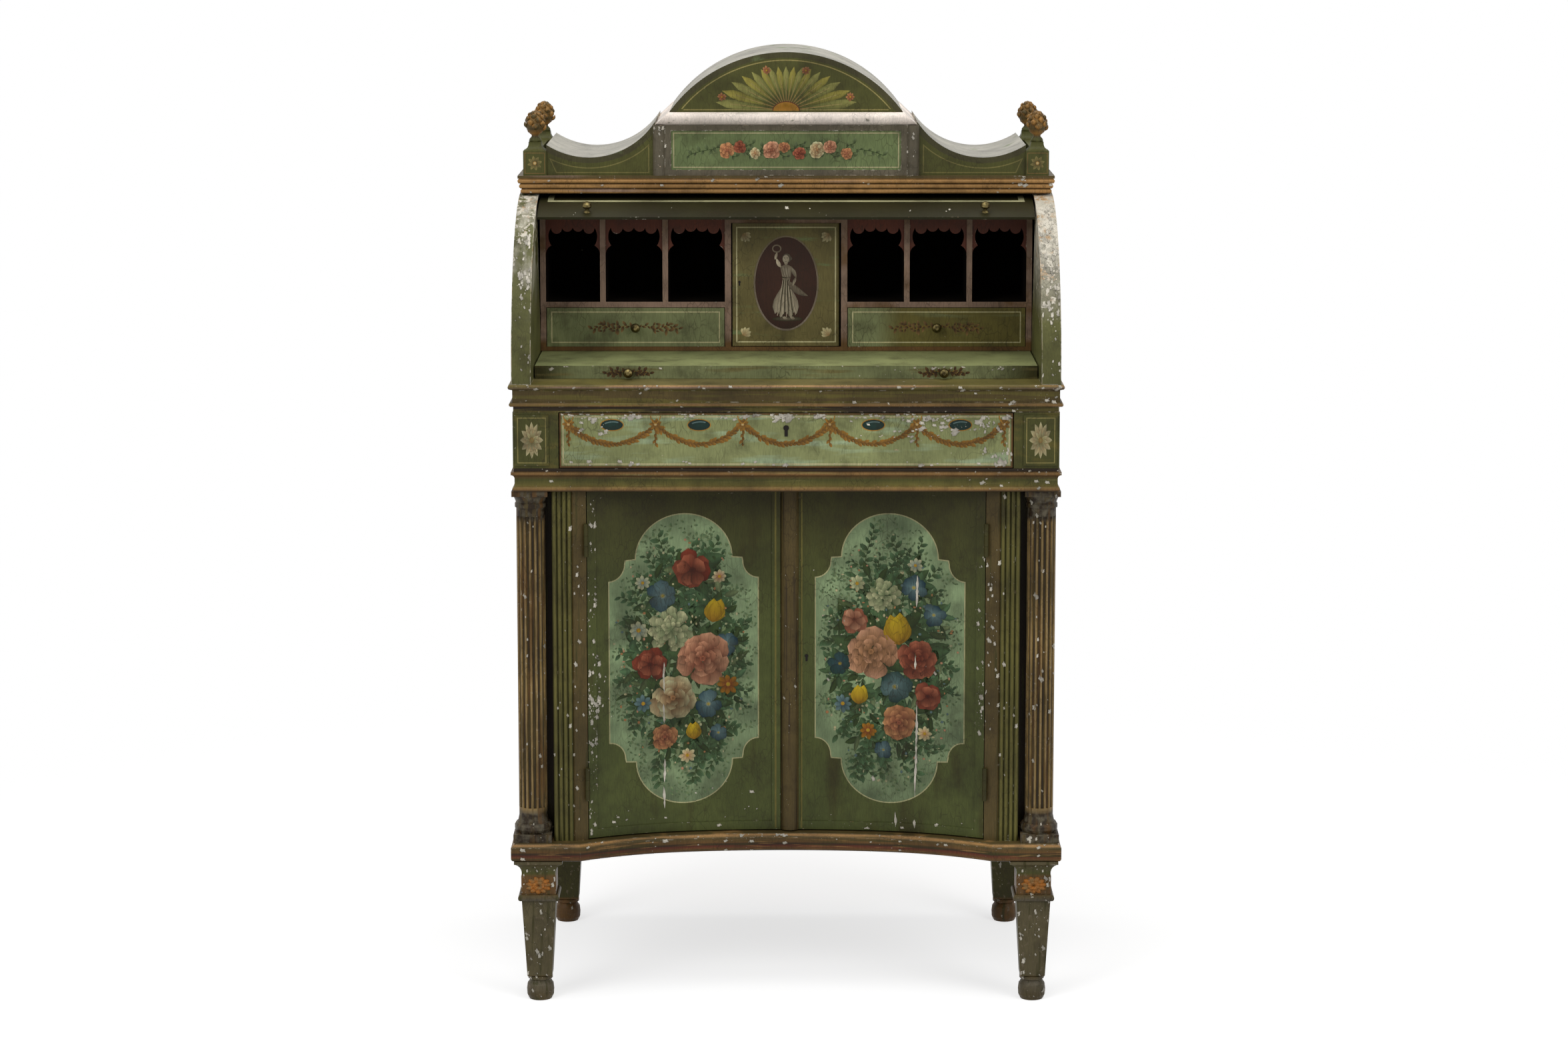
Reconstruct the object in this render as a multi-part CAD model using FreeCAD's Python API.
import FreeCAD
import Part
import math
import os

# Cylinder desk in millimetres: X to the right, Y to the back, Z up, floor at Z = 0.
# A painted case on four legs: concave cupboard doors between columns, a frieze drawer,
# a swing fall over a fitted nest and a sliding writing board, and a deep gallery on top.

V = FreeCAD.Vector
UP = V(0, 0, 1)
ALONG_X = V(1, 0, 0)
ALONG_Y = V(0, 1, 0)

# Levels from the floor up
FOOT_TOP = 36
TAPER_TOP = 148
LEG_TOP = 207
BASE_TOP = 232
FRIEZE_UNDER = 735
DRAWER_FLOOR = 768
BED_UNDER = 847
BED_TOP = 886
CASE_TOP = 1134
GALLERY_FLOOR = 1160

# Plan of the case
BASE_HALF = 388
BASE_DEPTH = 240
CASE_BACK = 230
BACK_THICK = 8
BACK_FACE = CASE_BACK - BACK_THICK
FRIEZE_FRONT = -233
FRIEZE_HALF = 380

# Concave front: one flat middle arc and two tighter end arcs, tangent to each other
BOW_MIDDLE_Y = -177
BOW_MIDDLE_RADIUS = 1000
BOW_END_RADIUS = 401
BOW_CHANGE = 140
BOW_HALF = 290
BOW_CENTRE_Y = BOW_MIDDLE_Y - BOW_MIDDLE_RADIUS
BOW_SHARE = 1 - BOW_END_RADIUS / BOW_MIDDLE_RADIUS
BOW_END_X = BOW_CHANGE * BOW_SHARE
BOW_END_Y = BOW_CENTRE_Y + math.sqrt(BOW_MIDDLE_RADIUS**2 - BOW_CHANGE**2) * BOW_SHARE

# Legs and columns
FRONT_LEG = (350, -205)
REAR_LEG = (334, 205)
COLUMN = (358, -203)
SHAFT_RADIUS = 20
FLUTES = 16
FLUTE_RADIUS = 2.6

# Cupboard
SIDE_OUT = 370
SIDE_IN = 352
STILE_IN = 280
STILE_BAND = 300
STILE_OUT = 328
STILE_FRONT = -218
NOTCH_BACK = -170
STILE_BACK = -150
REEDS = 4
SHELF_LEVEL = 470
SHELF_FRONT = -115
BOARD = 18

# Doors: 1 mm from the stiles, bevelled where they meet so that each can swing past the other
DOOR_INSET = 20
DOOR_THICK = 20
DOOR_OUT = 279
DOOR_LOW = 234
DOOR_HIGH = 733
DOOR_BORDER = 12
FIELD_DEPTH = 2
RIGHT_MEETS = (-7, -1.5)
LEFT_MEETS = (-8, -14)
HINGE = (280, -216.5)
KNUCKLE = 3.2
HINGE_PIN = 1.6
RUNNING = 0.05
HINGE_LEVELS = (290, 640)
HINGE_HEIGHT = 45
HINGE_ROWS = 3
LEAF = 2
LEAF_DEPTH = 22
ASTRAGAL_WIDTH = 25
ASTRAGAL_RISE = 8
KEYHOLE = (29, 484)
DOOR_LOCK_HALF = (20, 24)
DOOR_LOCK_DEPTH = (-147, -129)

# Frieze drawer
DRAWER_HALF = 315
DRAWER_BAY = 316.5
DRAWER_FRONT = -231
DRAWER_FACE = 20
TRAY_HALF = 313
TRAY_WALL = 12
TRAY_BACK = 190
DRAWER_LOCK_HALF = 25
DRAWER_LOCK_LEVELS = (790, 832)
DRAWER_LOCK_SET = 8
DRAWER_LOCK_PROUD = 6

# Cylinder: axis of the fall, side panels and fall shell
ROLL_Y = 4
ROLL_Z = 894
PANEL_RADIUS = 240
PANEL_OUT = 381
PANEL_IN = 354
FALL_HALF = 352
FALL_OUT = 234
FALL_IN = 218
FALL_LIP = 25
FALL_BEVEL = 15.5
FALL_EDGE = 4
FALL_TAIL = -66
FALL_TRAVEL = 66
ARM_TURN = -51
ARM_IN = 355
ARM_THICK = 6
ARM_WIDTH = 12
ARM_REACH = 229
ARM_PAD = 9.5
PIVOT = 3
POCKET = 8
POCKET_RADIUS = 236
POCKET_HALF = 7
PIN_END = 372
KNOB_TURN = 21
FALL_KNOB_X = 282
FALL_LOCK_HALF = (30, 14)
FALL_LOCK_DEPTH = 8
CORNICE_FRONT = -38

# Writing slide
SLIDE_HALF = 352
SLIDE_FRONT = -174
SLIDE_BACK = 205
SLIDE_TOP = 904.5
SLIDE_KNOB_X = 221

# Fitted nest
NEST_FRONT = -11
NEST_HALF = 353.5
NEST_FLOOR = (905, 911)
NEST_SHELF = (968, 976)
NEST_SHELF_BACK = 190
NEST_CEILING = (1095, 1101)
NEST_IN = 206
NEST_OUT = 212
NEST_BOARD = 8
PARTITIONS = (173.7, 263.5)
CELL_IN = 79
CELL_OUT = 88
SMALL_FRONT = 12
SMALL_WALL = 7
SMALL_BOTTOM = 6
SMALL_BACK = 150
SMALL_KNOB_Z = 939
CELL_HEAD = 1090
CELL_DOOR_HALF = 77
CELL_DOOR_THICK = 12
CELL_DOOR_LEVELS = (912, 1089.5)
CELL_PIN = (71, -5)
CELL_PIN_RADIUS = 1.5
CELL_PIN_GRIP = 4
CELL_PIN_DEPTH = 6
OVAL = (46, 68)
OVAL_Z = 1003
OVAL_DEPTH = 1.5
BRACKET = 8
BRACKET_DROP = 52
VALANCE_DROP = 18

# Gallery
GALLERY_FRONT = -30
GALLERY_BACK = 218
GALLERY_BOARD = 12
WING_X = 281
WING_Z = 1297.4
WING_RADIUS = 112
WING_OUT = 342
WING_IN = 187
COVER = 8
LEDGE = (1232, 1250)
LEDGE_TOP_HALF = 168
LUNETTE_Z = 1129.9
LUNETTE_RADIUS = 205.5
ROSE_PANEL_HALF = 181
ROSE_PANEL_THICK = 4
ROSE_FIELD_HALF = 164
ROSE_FIELD = (1168, 1224)
ROSE_FIELD_DEPTH = 1.5
ROSE_POST_RADIUS = 9
PEDESTAL_X = 358.5
PEDESTAL_YS = (-17.5, 201.5)
PEDESTAL_HALF = 16.5
PEDESTAL_TOP = 1207
FINIAL_STEM = 9
FINIAL_CONE = 43
FINIAL_LEAN = 26
FINIAL_OUT = 4


def box(x0, x1, y0, y1, z0, z1):
    """Board between two corners."""
    return Part.makeBox(x1 - x0, y1 - y0, z1 - z0, V(x0, y0, z0))


def mirrored(shape):
    """Left-hand twin of a right-hand piece."""
    return shape.mirror(V(0, 0, 0), ALONG_X)


def pair(shape):
    """A right-hand piece and its left-hand twin, as two separate solids."""
    return Part.makeCompound([shape, mirrored(shape)])


def on_plan(x, y):
    return V(x, y, 0)


def on_front(x, z):
    return V(x, 0, z)


def on_side(y, z):
    return V(0, y, z)


def chain(place, steps):
    """Edges along steps: a pair is the end of a line, two pairs are an arc's middle and end."""
    edges = []
    here = place(*steps[0])
    for step in steps[1:]:
        if isinstance(step[0], tuple):
            middle, end = place(*step[0]), place(*step[1])
            edges.append(Part.Arc(here, middle, end).toShape())
        else:
            end = place(*step)
            edges.append(Part.LineSegment(here, end).toShape())
        here = end
    return edges


def last_point(steps):
    """Point where a list of steps ends."""
    return steps[-1][1] if isinstance(steps[-1][0], tuple) else steps[-1]


def outline(place, *steps):
    """Flat face inside a closed run of steps."""
    edges = chain(place, steps)
    if math.dist(last_point(steps), steps[0]) > 1e-6:
        edges += chain(place, (last_point(steps), steps[0]))
    return Part.Face(Part.Wire(edges))


def spread(face, reach):
    """Face drawn out along a direction, half to each side."""
    return face.translated(reach * -0.5).extrude(reach)


def raised(face, low, high):
    """Plan outline as a solid between two levels."""
    return face.translated(V(0, 0, low)).extrude(V(0, 0, high - low))


def deep(face, front, back):
    """Front outline as a solid between two depths."""
    return face.translated(V(0, front, 0)).extrude(V(0, back - front, 0))


def between(left, right, profile):
    """Face between two placings of one edge profile."""
    edges = chain(left, profile) + chain(right, profile)
    for end in (profile[0], last_point(profile)):
        edges.append(Part.LineSegment(left(*end), right(*end)).toShape())
    return Part.Face(Part.Wire(Part.__sortEdges__(edges)))


def moulded(half_x, front, back, profile):
    """Block with one edge profile of (reach, height) steps mitred round its four sides."""
    across = between(lambda r, z: V(-half_x - r, 0, z), lambda r, z: V(half_x + r, 0, z), profile)
    along = between(lambda r, z: V(0, front - r, z), lambda r, z: V(0, back + r, z), profile)
    length = V(0, 4 * BASE_HALF, 0)
    width = V(4 * BASE_HALF, 0, 0)
    return spread(across, length).common(spread(along, width))


def moulded_front(half_x, front, profile):
    """Board with the edge profile on its front and ends, cut square at the back of the case."""
    low, high = profile[0][1], last_point(profile)[1]
    board = moulded(half_x, front, CASE_BACK + BASE_DEPTH, profile)
    return board.common(box(-BASE_HALF, BASE_HALF, -BASE_HALF, CASE_BACK, low, high))


def turned(*steps):
    """Solid of revolution about the Z axis from (radius, height) steps."""
    return outline(on_front, *steps).revolve(V(0, 0, 0), UP, 360)


def upright_rod(x, y, radius, low, high):
    return Part.makeCylinder(radius, high - low, V(x, y, low), UP)


def bow(x, inset):
    """Y of the concave front line at x, moved inset into the case."""
    radius = BOW_MIDDLE_RADIUS + inset
    if abs(x) <= BOW_CHANGE * radius / BOW_MIDDLE_RADIUS:
        return BOW_CENTRE_Y + math.sqrt(radius**2 - x**2)
    return BOW_END_Y + math.sqrt((BOW_END_RADIUS + inset)**2 - (abs(x) - BOW_END_X)**2)


def bow_steps(start, end, inset):
    """Arc steps along the concave front, broken where its radius changes."""
    change = BOW_CHANGE * (BOW_MIDDLE_RADIUS + inset) / BOW_MIDDLE_RADIUS
    stops = [s for s in (-change, change) if min(start, end) < s < max(start, end)]
    steps = []
    here = start
    for stop in sorted(stops, reverse=start > end) + [end]:
        middle = (here + stop) / 2
        steps.append(((middle, bow(middle, inset)), (stop, bow(stop, inset))))
        here = stop
    return steps


def bowed(start, end, front_inset, back_inset, back_start=None):
    """Plan of a curved board between two insets; back_start bevels its first end."""
    back_start = start if back_start is None else back_start
    return outline(
        on_plan,
        (start, bow(start, front_inset)),
        *bow_steps(start, end, front_inset),
        (end, bow(end, back_inset)),
        *bow_steps(end, back_start, back_inset),
    )


def on_roll(radius, turn):
    """Point on the fall's circle, turn degrees from upright towards the front."""
    angle = math.radians(turn)
    return (ROLL_Y - radius * math.sin(angle), ROLL_Z + radius * math.cos(angle))


def rolled(inner, outer, start, end):
    """Side outline of a bent board between two radii about the fall's axis."""
    middle = (start + end) / 2
    return outline(
        on_side,
        on_roll(outer, start),
        (on_roll(outer, middle), on_roll(outer, end)),
        on_roll(inner, end),
        (on_roll(inner, middle), on_roll(inner, start)),
    )


def roll_core(radius, half_x):
    """Cylinder about the fall's axis."""
    return Part.makeCylinder(radius, 2 * half_x, V(-half_x, ROLL_Y, ROLL_Z), ALONG_X)


def turn_fall(shape, turn):
    """Piece drawn upright over the fall's axis, swung forward by turn degrees."""
    return shape.rotated(V(0, ROLL_Y, ROLL_Z), ALONG_X, turn)


# Lower case


def leg(x, y):
    """Drum foot and ring under a tapered square leg with collar, block and flared cap."""
    foot = turned(
        (0, 0),
        (16, 0),
        (19, 6),
        (19.5, 14),
        (18.5, 22),
        (14.5, 28),
        (17.5, 30),
        (17.5, 34),
        (15, FOOT_TOP),
        (0, FOOT_TOP),
    )
    square = moulded(0, 0, 0, (
        (17.5, FOOT_TOP),
        (24, TAPER_TOP),
        (26.5, TAPER_TOP),
        ((29, TAPER_TOP + 4.5), (26.5, TAPER_TOP + 9)),
        (24.5, TAPER_TOP + 9),
        (24.5, TAPER_TOP + 36),
        ((26.5, TAPER_TOP + 49), (34, LEG_TOP - 4)),
        (34, LEG_TOP),
    ))
    whole = foot.fuse(square)
    whole.translate(V(x, y, 0))
    return whole


def rim(board, level):
    """Edges of the base board at one level, without its rear edge."""
    return [edge for edge in board.Edges
            if all(abs(v.Z - level) < 0.01 for v in edge.Vertexes)
            and edge.CenterOfMass.y < BASE_DEPTH - 1]


def base_board():
    """Platform under the cupboard, with a bevelled top edge and a rounded lower edge."""
    face = outline(
        on_plan,
        (-BASE_HALF, BASE_DEPTH),
        (BASE_HALF, BASE_DEPTH),
        (BASE_HALF, -BASE_DEPTH),
        (BOW_HALF, bow(BOW_HALF, 0)),
        *bow_steps(BOW_HALF, -BOW_HALF, 0),
        (-BASE_HALF, -BASE_DEPTH),
    )
    board = raised(face, LEG_TOP, BASE_TOP)
    bevelled = board.makeChamfer(5, rim(board, BASE_TOP))
    return bevelled.makeFillet(5, rim(bevelled, LEG_TOP))


def column():
    """Free-standing fluted column with a square plinth, torus base and abacus."""
    x, y = COLUMN
    shaft_low, shaft_high = BASE_TOP + 36, FRIEZE_UNDER - 25
    spindle = turned(
        (0, BASE_TOP + 12),
        (24, BASE_TOP + 12),
        (26.5, BASE_TOP + 17),
        (26.5, BASE_TOP + 22),
        (24, BASE_TOP + 26),
        (22, BASE_TOP + 26),
        (SHAFT_RADIUS, shaft_low),
        (SHAFT_RADIUS, shaft_high),
        (22, shaft_high),
        (22, shaft_high + 5),
        (20.5, shaft_high + 7),
        (24.5, shaft_high + 17),
        (0, shaft_high + 17),
    )
    for i in range(FLUTES):
        angle = 2 * math.pi * (i + 0.5) / FLUTES
        flute_x, flute_y = SHAFT_RADIUS * math.cos(angle), SHAFT_RADIUS * math.sin(angle)
        spindle = spindle.cut(upright_rod(flute_x, flute_y, FLUTE_RADIUS, shaft_low + 12, shaft_high - 12))
    plinth = box(-27, 27, -27, 27, BASE_TOP, BASE_TOP + 12)
    abacus = box(-25, 25, -25, 25, shaft_high + 17, FRIEZE_UNDER)
    whole = spindle.fuse([plinth, abacus])
    whole.translate(V(x, y, 0))
    return whole


def hinge_slot(edge, inward):
    """Room for the two hinge leaves let into an upright edge; inward is +1 for the stile."""
    slots = []
    for level in HINGE_LEVELS:
        x0, x1 = sorted((edge, edge + inward * LEAF))
        slots.append(box(x0, x1, HINGE[1], HINGE[1] + LEAF_DEPTH, level, level + HINGE_HEIGHT))
    return slots


def front_stile():
    """Corner post: plain splayed band by the door, four reeds, and a return behind the column."""
    reed = (STILE_OUT - STILE_BAND) / REEDS
    groove = STILE_FRONT + 2.5
    reeds = []
    for i in range(REEDS):
        x = STILE_BAND + i * reed
        reeds.append(((x + reed / 2, STILE_FRONT), (x + reed, groove)))
    face = outline(
        on_plan,
        (STILE_IN, bow(DOOR_OUT, DOOR_INSET) - 0.7),
        (STILE_BAND - 2, STILE_FRONT + 0.5),
        (STILE_BAND, groove),
        *reeds,
        (STILE_OUT, NOTCH_BACK),
        (SIDE_IN, NOTCH_BACK),
        (SIDE_IN, STILE_BACK),
        (STILE_IN, STILE_BACK),
    )
    return raised(face, BASE_TOP, FRIEZE_UNDER).cut(hinge_slot(STILE_IN, 1))


def hinge_leaves(edge, inward, rows, bore):
    """Leaves with their knuckles, on the stile (inward +1) or on the door (inward -1)."""
    row = HINGE_HEIGHT / HINGE_ROWS
    x0, x1 = sorted((edge, edge + inward * LEAF))
    leaves = []
    for level in HINGE_LEVELS:
        leaf = box(x0, x1, HINGE[1], HINGE[1] + LEAF_DEPTH, level, level + HINGE_HEIGHT)
        leaf = leaf.cut(upright_rod(*HINGE, KNUCKLE + 0.3, level - 1, level + HINGE_HEIGHT + 1))
        for i in rows:
            low, high = level + i * row + 0.15, level + (i + 1) * row - 0.15
            knuckle = upright_rod(*HINGE, KNUCKLE, low, high)
            neck = box(x0, x1, HINGE[1], HINGE[1] + KNUCKLE + 2, low, high)
            leaf = leaf.fuse([knuckle, neck])
        leaves.append(leaf.cut(upright_rod(*HINGE, bore, level - 1, level + HINGE_HEIGHT + 1)))
    return leaves


def hinge_pins():
    """Pin of each hinge on one side, with a round head on top."""
    pins = []
    for level in HINGE_LEVELS:
        pin = upright_rod(*HINGE, HINGE_PIN, level, level + HINGE_HEIGHT)
        head = upright_rod(*HINGE, KNUCKLE, level + HINGE_HEIGHT, level + HINGE_HEIGHT + 2)
        pins.append(pin.fuse(head))
    return pins


def door(hinge_end, meets, meet_border):
    """Curved door with a sunk field inside a raised border."""
    meet_front, meet_back = meets
    slab = raised(bowed(meet_front, hinge_end, DOOR_INSET, DOOR_INSET + DOOR_THICK, meet_back),
                  DOOR_LOW, DOOR_HIGH)
    side = math.copysign(1, hinge_end)
    field = bowed(meet_front + side * meet_border, hinge_end - side * DOOR_BORDER,
                  DOOR_INSET - 4, DOOR_INSET + FIELD_DEPTH)
    return slab.cut(raised(field, DOOR_LOW + DOOR_BORDER, DOOR_HIGH - DOOR_BORDER))


def door_astragal():
    """Half-round bead on the meeting edge of the right door."""
    start = RIGHT_MEETS[0]
    end = start + ASTRAGAL_WIDTH
    middle = (start + end) / 2
    crown = (middle, bow(middle, DOOR_INSET) - ASTRAGAL_RISE)
    face = outline(
        on_plan,
        (start, bow(start, DOOR_INSET)),
        (crown, (end, bow(end, DOOR_INSET))),
        *bow_steps(end, start, DOOR_INSET),
    )
    return raised(face, DOOR_LOW, DOOR_HIGH)


def door_lock():
    """Lock case let into the back of the right door."""
    x, z = KEYHOLE
    half_x, half_z = DOOR_LOCK_HALF
    return box(x - half_x, x + half_x, *DOOR_LOCK_DEPTH, z - half_z, z + half_z)


def cupboard_top():
    """Board over the cupboard: moulded edge below, plain drawer rail above."""
    return moulded_front(FRIEZE_HALF, FRIEZE_FRONT, (
        (-3, FRIEZE_UNDER),
        ((1, FRIEZE_UNDER + 4), (-2, FRIEZE_UNDER + 8)),
        (-2, FRIEZE_UNDER + 18),
        ((0.5, FRIEZE_UNDER + 23), (3, FRIEZE_UNDER + 24)),
        (3, FRIEZE_UNDER + 28),
        (-1, FRIEZE_UNDER + 28),
        (-1, DRAWER_FLOOR),
    ))


def corner_block():
    """End block of the frieze with a raised square tablet on its face."""
    block = box(DRAWER_BAY, FRIEZE_HALF, FRIEZE_FRONT + 2, FRIEZE_FRONT + 50, DRAWER_FLOOR, BED_UNDER)
    tablet = box(STILE_OUT + 2, FRIEZE_HALF - 3, FRIEZE_FRONT, FRIEZE_FRONT + 2,
                 DRAWER_FLOOR + 4, BED_UNDER - 4)
    return block.fuse(tablet)


def desk_bed():
    """Bed of the desk with the waist moulding round it, notched for the back board."""
    board = moulded_front(FRIEZE_HALF, FRIEZE_FRONT, (
        (-1, BED_UNDER),
        (-1, BED_UNDER + 8),
        (2, BED_UNDER + 8),
        ((4.5, BED_UNDER + 11), (2, BED_UNDER + 14)),
        (0, BED_UNDER + 14),
        (0, BED_TOP - 8),
        (3, BED_TOP - 7),
        ((6, BED_TOP - 3.5), (3, BED_TOP)),
    ))
    return board.cut(box(-PANEL_IN, PANEL_IN, BACK_FACE, CASE_BACK, BED_UNDER, BED_TOP))


def tray_boards(half_x, middle_x, front, back, low, high, wall, floor):
    """Boards of a drawer box behind its front: two sides, the back between them, the bottom."""
    left, right = middle_x - half_x, middle_x + half_x
    return [
        box(left, left + wall, front, back, low, high),
        box(right - wall, right, front, back, low, high),
        box(left + wall, right - wall, back - wall, back, low, high),
        box(left + wall, right - wall, front, back - wall, low, floor),
    ]


# Cylinder case


def cylinder_side():
    """End panel with a quarter-round front and a sunk sector where the fall's arm swings."""
    face = outline(
        on_side,
        (ROLL_Y - PANEL_RADIUS, BED_TOP),
        (ROLL_Y - PANEL_RADIUS, ROLL_Z),
        (on_roll(PANEL_RADIUS, 45), on_roll(PANEL_RADIUS, 0)),
        (CASE_BACK, CASE_TOP),
        (CASE_BACK, BED_TOP),
    )
    panel = face.translated(V(PANEL_IN, 0, 0)).extrude(V(PANEL_OUT - PANEL_IN, 0, 0))
    sweep = rolled(2, POCKET_RADIUS, ARM_TURN + FALL_TRAVEL, ARM_TURN)
    sector = sweep.translated(V(PANEL_IN, 0, 0)).extrude(V(POCKET, 0, 0))
    ends = []
    for turn in (ARM_TURN, ARM_TURN + FALL_TRAVEL):
        bar = box(PANEL_IN, PANEL_IN + POCKET, ROLL_Y - POCKET_HALF, ROLL_Y + POCKET_HALF,
                  ROLL_Z, ROLL_Z + POCKET_RADIUS)
        ends.append(turn_fall(bar, turn))
    eye = Part.makeCylinder(POCKET_HALF, POCKET, V(PANEL_IN, ROLL_Y, ROLL_Z), ALONG_X)
    pin_hole = Part.makeCylinder(PIVOT, PIN_END - PANEL_IN, V(PANEL_IN, ROLL_Y, ROLL_Z), ALONG_X)
    return panel.cut([sector, eye, pin_hole] + ends)


def fall_arm():
    """Iron arm from the pivot to a pad screwed to the end of the fall."""
    bar = box(ARM_IN, ARM_IN + ARM_THICK, ROLL_Y - ARM_WIDTH / 2, ROLL_Y + ARM_WIDTH / 2,
              ROLL_Z, ROLL_Z + ARM_REACH)
    eye = Part.makeCylinder(ARM_WIDTH / 2, ARM_THICK, V(ARM_IN, ROLL_Y, ROLL_Z), ALONG_X)
    pad = box(FALL_HALF, ARM_IN, ROLL_Y - ARM_WIDTH / 2, ROLL_Y + ARM_WIDTH / 2,
              ROLL_Z + ARM_REACH - ARM_PAD, ROLL_Z + ARM_REACH)
    bore = Part.makeCylinder(PIVOT + RUNNING, 4 * ARM_THICK, V(FALL_HALF, ROLL_Y, ROLL_Z), ALONG_X)
    return turn_fall(bar.fuse([eye, pad]).cut(bore), ARM_TURN)


def pivot_pin():
    """Pin in the end panel, with a thin head that keeps the arm on."""
    pin = Part.makeCylinder(PIVOT, PIN_END - ARM_IN, V(ARM_IN, ROLL_Y, ROLL_Z), ALONG_X)
    head = Part.makeCylinder(PIVOT + 2, 0.9, V(PANEL_IN, ROLL_Y, ROLL_Z), ALONG_X)
    neck = Part.makeCylinder(PIVOT, 1, V(PANEL_IN, ROLL_Y, ROLL_Z), ALONG_X)
    return pin.fuse([neck, head])


def fall_shell():
    """Bent board of the fall, drawn open, bevelled behind its lip, with a seat for its lock."""
    middle = (FALL_LIP + FALL_TAIL) / 2
    face = outline(
        on_side,
        on_roll(FALL_OUT, FALL_LIP),
        (on_roll(FALL_OUT, middle), on_roll(FALL_OUT, FALL_TAIL)),
        on_roll(FALL_IN, FALL_TAIL),
        (on_roll(FALL_IN, middle), on_roll(FALL_IN, FALL_BEVEL)),
        on_roll(FALL_OUT - FALL_EDGE, FALL_LIP),
    )
    return spread(face, V(2 * FALL_HALF, 0, 0)).cut(fall_lock())


def fall_lock():
    """Lock case let flush into the inner face of the fall above the bevel of its lip."""
    half_x, half_y = FALL_LOCK_HALF
    low = ROLL_Z + math.sqrt(FALL_IN**2 - half_y**2)
    case = box(-half_x, half_x, ROLL_Y - half_y, ROLL_Y + half_y, low, low + FALL_LOCK_DEPTH)
    return turn_fall(case, FALL_BEVEL - 4.5)


def knob():
    """Turned brass knob on a short stem, base at the origin, standing along Z."""
    return turned(
        (0, 0),
        (5, 0),
        (2.6, 2.5),
        (2.6, 5),
        (5.8, 7),
        (6.8, 10),
        (5.6, 13.2),
        (2.5, 15.5),
        (0, 15.5),
    )


def front_knob(x, y, z):
    """Knob standing forward from an upright face."""
    whole = knob().rotated(V(0, 0, 0), ALONG_X, 90)
    return whole.translated(V(x, y, z))


def fall_knob():
    """Knob standing out from the fall's outer face."""
    return turn_fall(knob().translated(V(FALL_KNOB_X, ROLL_Y, ROLL_Z + FALL_OUT - 0.1)), KNOB_TURN)


def top_board():
    """Board over the cylinder with three reeds along its front and ends."""
    reed = (GALLERY_FLOOR - CASE_TOP - 4) / 3
    profile = [(-6, CASE_TOP)]
    for i in range(3):
        low = CASE_TOP + i * reed
        groove = 2 * i - 6
        profile.append(((groove + 4, low + reed / 2), (groove + 1, low + reed)))
        profile.append((groove + 2, low + reed))
    profile.append((2, GALLERY_FLOOR - 4))
    profile.append((2, GALLERY_FLOOR))
    return moulded_front(PANEL_OUT, CORNICE_FRONT, profile)


# Fitted nest


def nest_upright(x0, x1, low):
    """Upright board of the nest, its rear edge rounded to the bent back."""
    board = box(x0, x1, NEST_FRONT, ROLL_Y + NEST_OUT, low, NEST_CEILING[0])
    return board.common(roll_core(NEST_IN - 0.1, NEST_HALF))


def nest_back():
    """Bent board behind the pigeonholes, clear of the swinging fall."""
    ring = spread(rolled(NEST_IN, NEST_OUT, 0, -89), V(2 * NEST_HALF, 0, 0))
    return ring.common(box(-NEST_HALF, NEST_HALF, ROLL_Y, BACK_FACE + 10, NEST_FLOOR[1], NEST_CEILING[0]))


def nest_top():
    """Board over the pigeonholes, its rear edge rounded to the bent back."""
    board = box(-NEST_HALF, NEST_HALF, NEST_FRONT, BACK_FACE, *NEST_CEILING)
    return board.common(roll_core(NEST_OUT, NEST_HALF))


def nest_floor():
    """Board under the nest, over the writing slide."""
    board = box(-NEST_HALF, NEST_HALF, NEST_FRONT, BACK_FACE, *NEST_FLOOR)
    return board.cut(cell_pins()[0])


def cell_head():
    """Rail over the cell door, which holds its upper pin."""
    rail = box(-CELL_IN, CELL_IN, NEST_FRONT, NEST_FRONT + CELL_DOOR_THICK, CELL_HEAD, NEST_CEILING[0])
    return rail.cut(cell_pins()[1])


def pigeonhole_spans():
    """Clear widths of the three right-hand pigeonholes."""
    half = NEST_BOARD / 2
    starts = (CELL_OUT, PARTITIONS[0] + half, PARTITIONS[1] + half)
    ends = (PARTITIONS[0] - half, PARTITIONS[1] - half, NEST_HALF - NEST_BOARD)
    return list(zip(starts, ends))


def valance(start, end):
    """Scalloped arch under the ceiling of one pigeonhole, with a shaped bracket at each side."""
    top = NEST_CEILING[0]
    lobe = (end - start - 2 * BRACKET) / 4
    scallops = []
    for i in range(4):
        x = end - BRACKET - i * lobe
        drop = VALANCE_DROP if i in (1, 2) else VALANCE_DROP + 3
        scallops.append(((x - lobe / 2, top - drop), (x - lobe, top - VALANCE_DROP + 6)))
    face = outline(
        on_front,
        (start, top),
        (end, top),
        (end, top - BRACKET_DROP),
        ((end - BRACKET * 0.4, top - BRACKET_DROP + 10), (end - BRACKET, top - BRACKET_DROP + 14)),
        ((end - BRACKET * 0.5, top - 27), (end - BRACKET, top - VALANCE_DROP + 6)),
        *scallops,
        ((start + BRACKET * 0.5, top - 27), (start + BRACKET, top - BRACKET_DROP + 14)),
        ((start + BRACKET * 0.4, top - BRACKET_DROP + 10), (start, top - BRACKET_DROP)),
    )
    return deep(face, NEST_FRONT + 3, NEST_FRONT + 7)


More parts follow.
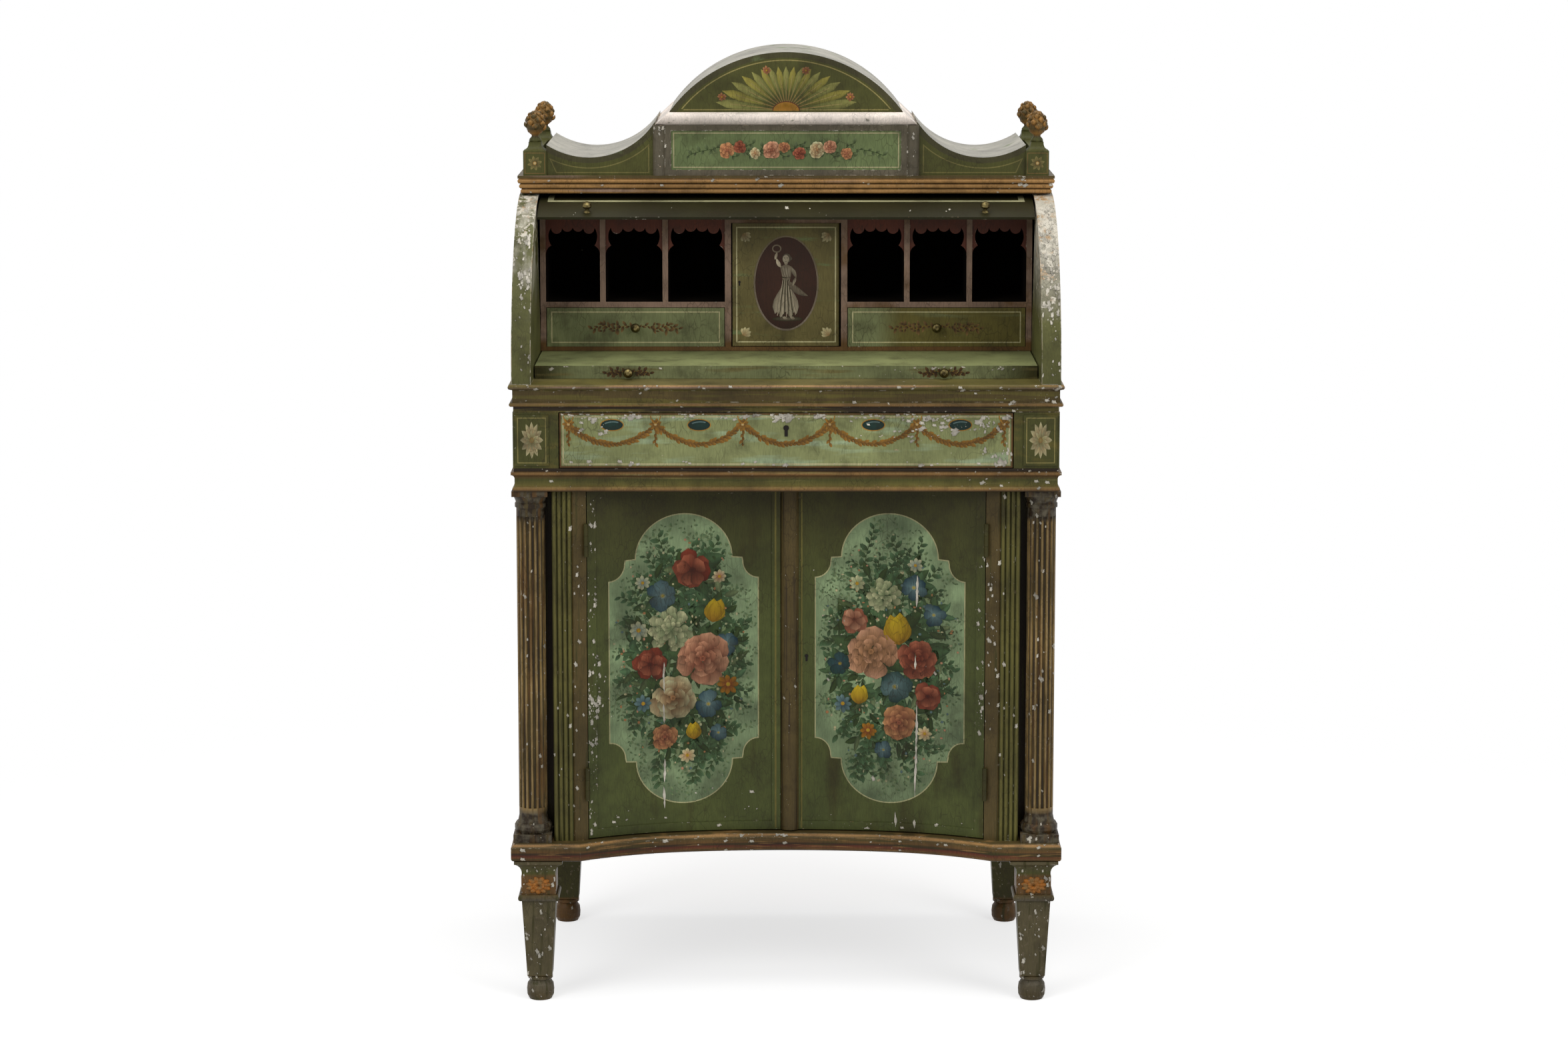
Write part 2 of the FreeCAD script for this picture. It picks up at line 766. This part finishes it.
def small_drawer():
    """Right-hand small drawer: its front board and the boards of its box."""
    middle = (CELL_OUT + NEST_HALF - NEST_BOARD) / 2
    half = (NEST_HALF - NEST_BOARD - CELL_OUT) / 2 - 1
    low, high = NEST_FLOOR[1] + 0.3, NEST_SHELF[0] - 0.8
    back = NEST_FRONT + SMALL_FRONT
    front = box(middle - half, middle + half, NEST_FRONT, back, low, high)
    tray = tray_boards(half - 2, middle, back, SMALL_BACK, low, high - 10, SMALL_WALL, low + SMALL_BOTTOM)
    return Part.makeCompound([front] + tray)


def cell_door():
    """Door of the central cell, rounded at its pin edge, with a sunk oval panel."""
    x, y = CELL_PIN
    half = CELL_DOOR_THICK / 2
    face = outline(
        on_plan,
        (-CELL_DOOR_HALF, y - half),
        (x, y - half),
        ((x + half, y), (x, y + half)),
        (-CELL_DOOR_HALF, y + half),
    )
    oval = Part.Ellipse(V(0, 0, 0), OVAL[1], OVAL[0]).toShape()
    sunk = Part.Face(Part.Wire(oval)).extrude(V(0, 0, OVAL_DEPTH))
    sunk.rotate(V(0, 0, 0), UP, 90)
    sunk.rotate(V(0, 0, 0), ALONG_X, 90)
    sunk.translate(V(0, y - half + OVAL_DEPTH, OVAL_Z))
    return raised(face, *CELL_DOOR_LEVELS).cut([sunk] + cell_pins(RUNNING))


def cell_pins(clearance=0):
    """Lower and upper pin of the cell door, fixed in the nest's floor and in the head rail."""
    low, high = NEST_FLOOR[1], CELL_HEAD
    radius = CELL_PIN_RADIUS + clearance
    return [
        upright_rod(*CELL_PIN, radius, low - CELL_PIN_GRIP, low + CELL_PIN_DEPTH),
        upright_rod(*CELL_PIN, radius, high - CELL_PIN_DEPTH, high + CELL_PIN_GRIP),
    ]


# Gallery


def wing_point(radius, x):
    """Point on the dip of the right-hand wing."""
    return (x, WING_Z - math.sqrt(radius**2 - (x - WING_X)**2))


def gallery_board():
    """Front outline of the lower gallery: two dipped wings and a raised middle."""
    low = WING_RADIUS + COVER
    out_x, out_z = wing_point(low, WING_OUT)
    in_x, in_z = wing_point(low, WING_IN)
    dip = WING_Z - low
    return outline(
        on_front,
        (-WING_OUT, GALLERY_FLOOR),
        (WING_OUT, GALLERY_FLOOR),
        (out_x, out_z),
        ((WING_X, dip), (in_x, in_z)),
        (in_x, LEDGE[0]),
        (-in_x, LEDGE[0]),
        (-in_x, in_z),
        ((-WING_X, dip), (-out_x, out_z)),
    )


def wing_cover():
    """Bent board over one wing, from front to back."""
    low = WING_RADIUS + COVER
    face = outline(
        on_front,
        wing_point(WING_RADIUS, WING_IN),
        ((WING_X, WING_Z - WING_RADIUS), wing_point(WING_RADIUS, WING_OUT)),
        wing_point(low, WING_OUT),
        ((WING_X, WING_Z - low), wing_point(low, WING_IN)),
    )
    return deep(face, GALLERY_FRONT, GALLERY_BACK)


def lunette_half(radius):
    """Half width of the lunette at its base, on the ledge."""
    return math.sqrt(radius**2 - (LEDGE[1] - LUNETTE_Z)**2)


def lunette_board():
    """Front outline of the lunette under its bent cover."""
    radius = LUNETTE_RADIUS - COVER
    half = lunette_half(radius)
    return outline(on_front, (-half, LEDGE[1]), (half, LEDGE[1]),
                   ((0, LUNETTE_Z + radius), (-half, LEDGE[1])))


def lunette_cover():
    """Bent board over the lunette, from front to back."""
    inner = LUNETTE_RADIUS - COVER
    half_in, half_out = lunette_half(inner), lunette_half(LUNETTE_RADIUS)
    face = outline(
        on_front,
        (half_in, LEDGE[1]),
        (half_out, LEDGE[1]),
        ((0, LUNETTE_Z + LUNETTE_RADIUS), (-half_out, LEDGE[1])),
        (-half_in, LEDGE[1]),
        ((0, LUNETTE_Z + inner), (half_in, LEDGE[1])),
    )
    return deep(face, GALLERY_FRONT, GALLERY_BACK)


def gallery_ledge():
    """Board under the lunette with a half-round nose and ends that slope out to the wings."""
    low, high = LEDGE
    nose = GALLERY_FRONT - 2
    face = outline(
        on_side,
        (GALLERY_BACK, low),
        (nose, low),
        ((nose - (high - low) / 2, (low + high) / 2), (nose, high)),
        (GALLERY_BACK, high),
    )
    ends = outline(on_front, (-WING_IN, low), (WING_IN, low), (LEDGE_TOP_HALF, high), (-LEDGE_TOP_HALF, high))
    return spread(face, V(2 * WING_IN, 0, 0)).common(deep(ends, nose - (high - low), GALLERY_BACK))


def gallery_panel():
    """Framed panel on the front of the gallery between two half-round uprights."""
    back = GALLERY_FRONT
    face = back - ROSE_PANEL_THICK
    x, radius = ROSE_PANEL_HALF, ROSE_POST_RADIUS
    panel = box(-x, x, face, back, GALLERY_FLOOR, LEDGE[0])
    field = box(-ROSE_FIELD_HALF, ROSE_FIELD_HALF, face, face + ROSE_FIELD_DEPTH, *ROSE_FIELD)
    post = upright_rod(x, back, radius, GALLERY_FLOOR, LEDGE[0])
    post = post.common(box(x - radius, x + radius, back - radius, back, GALLERY_FLOOR, LEDGE[0]))
    return panel.cut(field).fuse([post, mirrored(post)])


def pedestal(y):
    """Corner post of the gallery with a tapered cap, on the right."""
    whole = moulded(0, 0, 0, (
        (PEDESTAL_HALF, GALLERY_FLOOR),
        (PEDESTAL_HALF, PEDESTAL_TOP - 12),
        ((12, PEDESTAL_TOP - 9), (9, PEDESTAL_TOP)),
    ))
    return whole.translated(V(PEDESTAL_X, y, 0))


def finial(y):
    """Turned stem with a cone that leans towards the middle of the desk, on the right."""
    stem = turned(
        (0, 0),
        (8, 0),
        (4.5, 5),
        (5.5, FINIAL_STEM + 3),
        (0, FINIAL_STEM + 3),
    )
    cone = turned(
        (0, 0),
        (6, 0),
        (11, 4),
        (13.5, 11),
        (13, 19),
        (9.5, 32),
        (3, FINIAL_CONE),
        (0, FINIAL_CONE),
    )
    leaning = cone.rotated(V(0, 0, 0), ALONG_Y, -FINIAL_LEAN).translated(V(FINIAL_OUT, 0, FINIAL_STEM))
    return stem.fuse(leaning).translated(V(PEDESTAL_X, y, PEDESTAL_TOP))


def corners(make):
    """A right-hand piece at the front and back of the gallery, and its left-hand twins."""
    right = [make(y) for y in PEDESTAL_YS]
    return Part.makeCompound(right + [mirrored(piece) for piece in right])


def both(make_outline):
    """The front and the back board of one gallery outline."""
    front = deep(make_outline(), GALLERY_FRONT, GALLERY_FRONT + GALLERY_BOARD)
    back = deep(make_outline(), GALLERY_BACK - GALLERY_BOARD, GALLERY_BACK)
    return [front, back]


# All pieces by name


def lower_case():
    right_leg = leg(*FRONT_LEG)
    rear_leg = leg(*REAR_LEG)
    stile = front_stile()
    side = box(SIDE_IN, SIDE_OUT, STILE_BACK, CASE_BACK, BASE_TOP, FRIEZE_UNDER)
    frame_leaves = hinge_leaves(STILE_IN, 1, (0, 2), HINGE_PIN)
    pins = hinge_pins()
    return {
        "base_board": base_board(),
        "legs": Part.makeCompound([right_leg, mirrored(right_leg), rear_leg, mirrored(rear_leg)]),
        "columns": pair(column()),
        "front_stile_right": stile,
        "front_stile_left": mirrored(stile),
        "cupboard_side_right": side,
        "cupboard_side_left": mirrored(side),
        "cupboard_back": box(-SIDE_IN, SIDE_IN, BACK_FACE, CASE_BACK, BASE_TOP, FRIEZE_UNDER),
        "cupboard_shelf": box(-SIDE_IN, SIDE_IN, SHELF_FRONT, BACK_FACE, SHELF_LEVEL, SHELF_LEVEL + BOARD),
        "cupboard_top": cupboard_top(),
        "door_hinge_frame_leaves": Part.makeCompound(frame_leaves + [mirrored(s) for s in frame_leaves]),
        "door_hinge_pins": Part.makeCompound(pins + [mirrored(s) for s in pins]),
    }


def doors():
    leaves = hinge_leaves(DOOR_OUT, -1, (1,), HINGE_PIN + RUNNING)
    slots = hinge_slot(DOOR_OUT, -1)
    right = door(DOOR_OUT, RIGHT_MEETS, ASTRAGAL_WIDTH + 2).cut(slots + [door_lock()])
    left = door(-DOOR_OUT, LEFT_MEETS, DOOR_BORDER).cut([mirrored(s) for s in slots])
    return {
        "door_right": right,
        "door_left": left,
        "door_right_hinge_leaves": Part.makeCompound(leaves),
        "door_left_hinge_leaves": Part.makeCompound([mirrored(s) for s in leaves]),
        "door_astragal": door_astragal(),
        "door_lock": door_lock(),
    }


def frieze():
    guide = box(DRAWER_BAY, PANEL_IN, FRIEZE_FRONT + 50, BACK_FACE, DRAWER_FLOOR, DRAWER_FLOOR + 22)
    side = box(PANEL_IN, FRIEZE_HALF - 1, FRIEZE_FRONT + 50, CASE_BACK, DRAWER_FLOOR, BED_UNDER)
    low, high = DRAWER_FLOOR + 1, BED_UNDER - 1.5
    face_back = DRAWER_FRONT + DRAWER_FACE
    lock = box(-DRAWER_LOCK_HALF, DRAWER_LOCK_HALF, face_back - DRAWER_LOCK_SET,
               face_back + DRAWER_LOCK_PROUD, *DRAWER_LOCK_LEVELS)
    tray = tray_boards(TRAY_HALF, 0, face_back, TRAY_BACK, low - 0.7, high - 8, TRAY_WALL, low + 8)
    front = box(-DRAWER_HALF, DRAWER_HALF, DRAWER_FRONT, face_back, low, high)
    return {
        "corner_blocks": pair(corner_block()),
        "frieze_sides": pair(side),
        "drawer_guides": pair(guide),
        "desk_bed": desk_bed(),
        "drawer_front": front.cut(lock),
        "drawer_tray": Part.makeCompound(tray),
        "drawer_lock": lock,
    }


def cylinder_case():
    panel = cylinder_side()
    back = box(-PANEL_IN, PANEL_IN, BACK_FACE, CASE_BACK, DRAWER_FLOOR, CASE_TOP)
    slide = box(-SLIDE_HALF, SLIDE_HALF, SLIDE_FRONT, SLIDE_BACK, BED_TOP + 0.3, SLIDE_TOP)
    return {
        "cylinder_side_right": panel,
        "cylinder_side_left": mirrored(panel),
        "upper_back": back,
        "top_board": top_board(),
        "fall_pivot_pins": pair(pivot_pin()),
        "fall_shell": fall_shell(),
        "fall_arms": pair(fall_arm()),
        "fall_knobs": pair(fall_knob()),
        "fall_lock": fall_lock(),
        "writing_slide": slide,
        "slide_knobs": pair(front_knob(SLIDE_KNOB_X, SLIDE_FRONT, (BED_TOP + SLIDE_TOP) / 2)),
    }


def nest():
    half = NEST_BOARD / 2
    partitions = [nest_upright(x - half, x + half, NEST_SHELF[1]) for x in PARTITIONS]
    valances = [valance(start, end) for start, end in pigeonhole_spans()]
    shelf = box(CELL_OUT, NEST_HALF - NEST_BOARD, NEST_FRONT, NEST_SHELF_BACK, *NEST_SHELF)
    wall = nest_upright(CELL_IN, CELL_OUT, NEST_FLOOR[1])
    drawer = small_drawer()
    drawer_knob = front_knob((CELL_OUT + NEST_HALF - NEST_BOARD) / 2, NEST_FRONT, SMALL_KNOB_Z)
    return {
        "nest_floor": nest_floor(),
        "nest_top": nest_top(),
        "nest_back": nest_back(),
        "nest_ends": pair(nest_upright(NEST_HALF - NEST_BOARD, NEST_HALF, NEST_FLOOR[1])),
        "cell_walls": Part.makeCompound([wall, mirrored(wall), cell_head()]),
        "pigeonhole_partitions": Part.makeCompound(partitions + [mirrored(p) for p in partitions]),
        "small_drawer_shelves": pair(shelf),
        "pigeonhole_valances": Part.makeCompound(valances + [mirrored(v) for v in valances]),
        "small_drawer_right": drawer,
        "small_drawer_left": mirrored(drawer),
        "small_drawer_right_knob": drawer_knob,
        "small_drawer_left_knob": mirrored(drawer_knob),
        "cell_door": cell_door(),
        "cell_door_pins": Part.makeCompound(cell_pins()),
    }


def gallery():
    front, back = both(gallery_board)
    side = box(PEDESTAL_X - 6, PEDESTAL_X + 6, PEDESTAL_YS[0] + PEDESTAL_HALF,
               PEDESTAL_YS[1] - PEDESTAL_HALF, GALLERY_FLOOR, PEDESTAL_TOP - 12)
    return {
        "gallery_front": front,
        "gallery_back": back,
        "gallery_sides": pair(side),
        "wing_covers": pair(wing_cover()),
        "gallery_ledge": gallery_ledge(),
        "lunette_boards": Part.makeCompound(both(lunette_board)),
        "lunette_cover": lunette_cover(),
        "gallery_panel": gallery_panel(),
        "gallery_pedestals": corners(pedestal),
        "finials": corners(finial),
    }


os.makedirs("parts", exist_ok=True)
for section in (lower_case, doors, frieze, cylinder_case, nest, gallery):
    for name, shape in section().items():
        shape.exportStep("parts/" + name + ".step")
